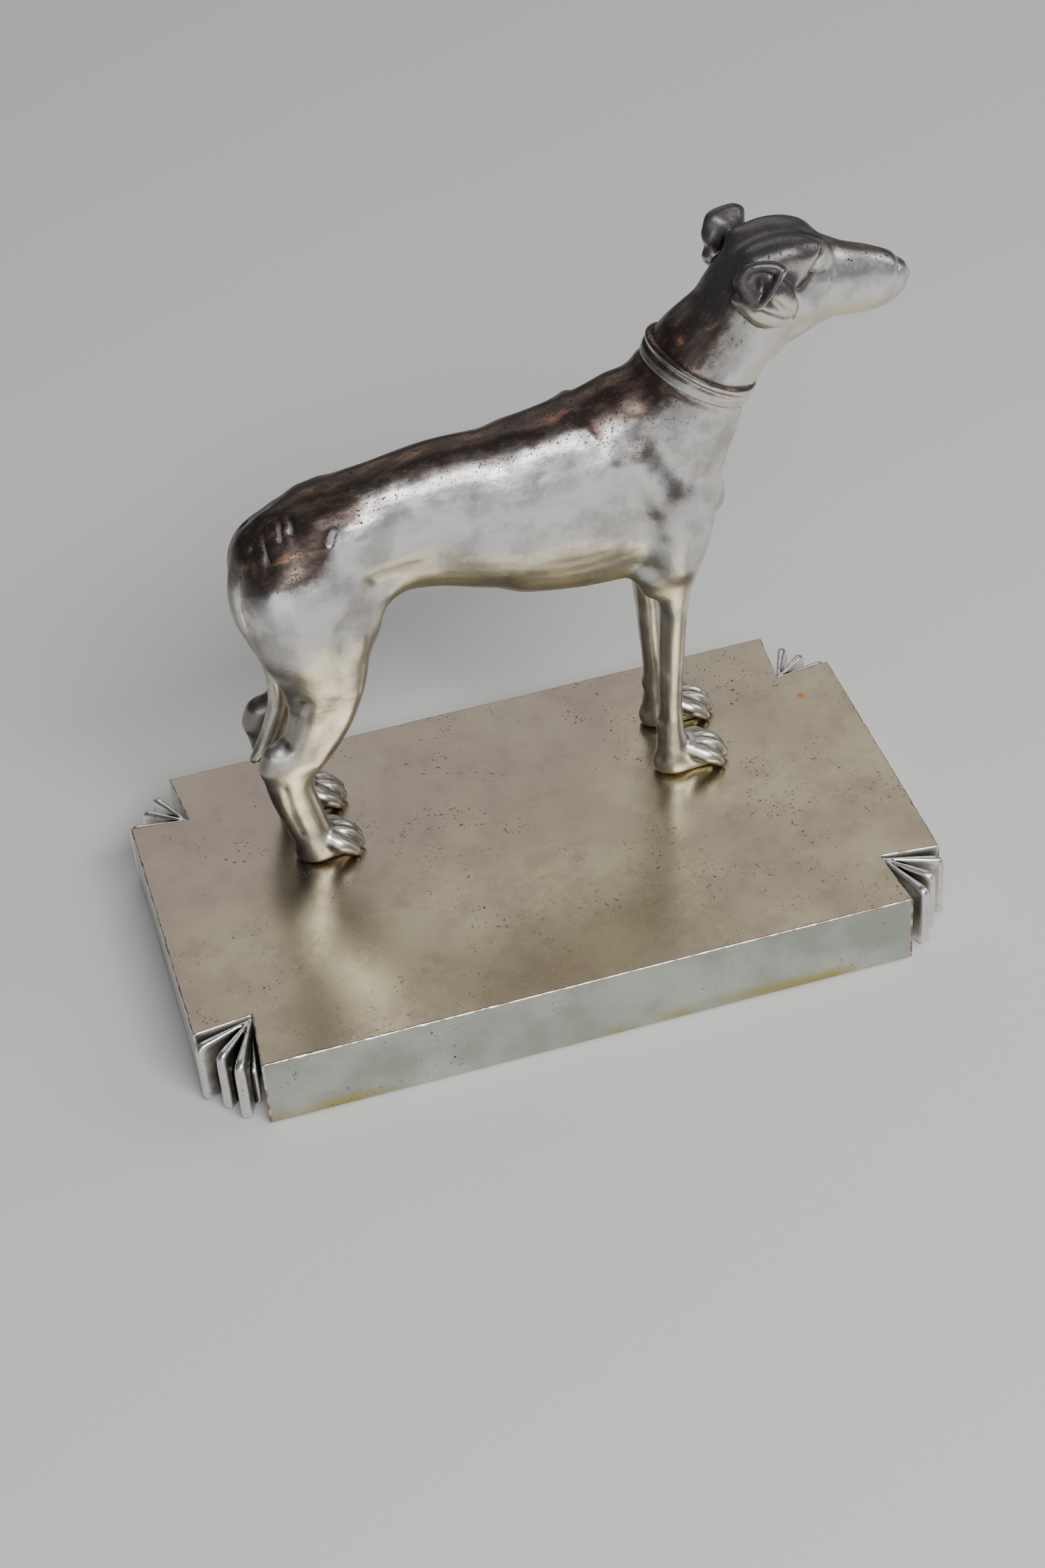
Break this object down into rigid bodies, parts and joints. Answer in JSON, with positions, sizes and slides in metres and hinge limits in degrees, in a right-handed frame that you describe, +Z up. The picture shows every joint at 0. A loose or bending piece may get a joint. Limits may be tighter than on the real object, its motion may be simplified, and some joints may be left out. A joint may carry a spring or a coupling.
{
  "type": "hood ornament",
  "caption": "Plated standing greyhound mascot with collar and folded ears, on a rectangular base with notched, pleated fan corners.",
  "frame": {"origin": "centre of the base's footprint on the face it rests on (the underside of the felt)", "axes": "+Z up, +X along the base the way the dog faces, +Y to the dog's left"},
  "size_m": [0.1827, 0.098, 0.1484],
  "materials": {
    "worn_silver_plate": "old silver plate, satin, tarnished brown along the back with copper showing through",
    "bronzed_plate": "satin olive brown tarnish with dark specks and bright, coppery worn edges",
    "steel": "plain steel, slightly dull",
    "felt": "dark green wool felt"
  },
  "bodies": {
    "root": {"torso_casting": "worn_silver_plate", "head_casting": "worn_silver_plate", "right_foreleg": "worn_silver_plate", "left_foreleg": "worn_silver_plate", "right_hind_leg": "worn_silver_plate", "left_hind_leg": "worn_silver_plate", "tail_casting": "worn_silver_plate", "collar_band": "worn_silver_plate", "collar_ring": "worn_silver_plate", "base_shell": "bronzed_plate", "fan_rear_right": "worn_silver_plate", "fan_rear_left": "worn_silver_plate", "fan_front_right": "worn_silver_plate", "fan_front_left": "worn_silver_plate", "base_plate": "steel", "felt_pad": "felt", "paw_stud_rear_right": "steel", "paw_washer_rear_right": "steel", "paw_nut_rear_right": "steel", "plate_screw_rear_right": "steel", "paw_stud_rear_left": "steel", "paw_washer_rear_left": "steel", "paw_nut_rear_left": "steel", "plate_screw_rear_left": "steel", "paw_stud_front_right": "steel", "paw_washer_front_right": "steel", "paw_nut_front_right": "steel", "plate_screw_front_right": "steel", "paw_stud_front_left": "steel", "paw_washer_front_left": "steel", "paw_nut_front_left": "steel", "plate_screw_front_left": "steel"}
  },
  "joints": []
}
